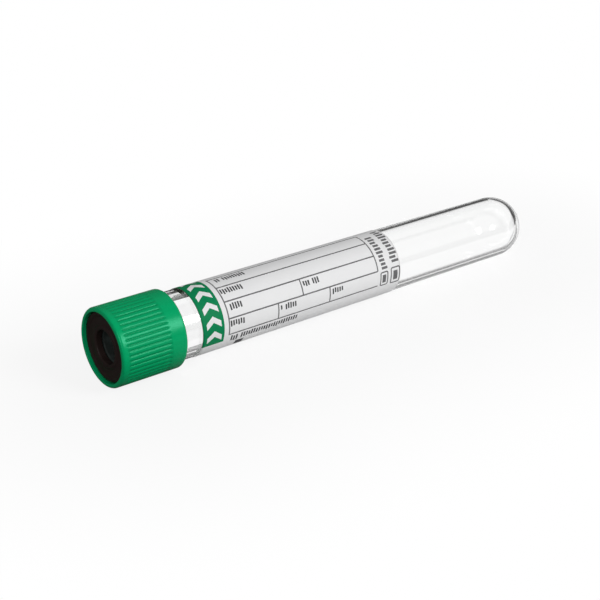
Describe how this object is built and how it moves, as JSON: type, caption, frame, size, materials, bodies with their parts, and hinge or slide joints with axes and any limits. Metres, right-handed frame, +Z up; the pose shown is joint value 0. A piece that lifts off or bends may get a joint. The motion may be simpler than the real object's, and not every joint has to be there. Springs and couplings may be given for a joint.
{
  "type": "blood collection tube",
  "caption": "Clear round-bottomed blood collection tube with a green ribbed screw cap, rubber stopper and a printed wrap label with write-in lines, lying on its side.",
  "frame": {"origin": "on the floor under the middle of the lying tube's bounding box", "axes": "+X from the cap towards the round end, +Z up, -Y the side that the label's form faces; the tube's own axis slopes 0.81 degrees down towards +X, as it does when cap and round end both touch the floor"},
  "size_m": [0.1026, 0.015, 0.0152],
  "materials": {
    "clear_plastic": "polished",
    "green_plastic": "satin",
    "black_plastic": "satin",
    "dark_rubber": "matte",
    "label_paper": "satin"
  },
  "bodies": {
    "tube": {"tube": "clear_plastic", "label": "label_paper"},
    "stopper": {"stopper": "dark_rubber"},
    "cap": {"cap": "green_plastic", "retaining_ring": "black_plastic"}
  },
  "joints": [
    {"name": "closure_pull", "type": "slide", "parent": "tube", "child": "stopper", "axis": [-0.9999, 0, 0.0141], "range_m": [0, 0.025]},
    {"name": "cap_twist", "type": "hinge", "parent": "stopper", "child": "cap", "pos_m": [-0.0451, 0, 0.00763], "axis": [-0.9999, 0, 0.0141], "range_deg": [0, 751]}
  ],
  "couplings": [
    {"joint": "cap_twist", "follows": "closure_pull", "rad_per_m": 523.6}
  ]
}
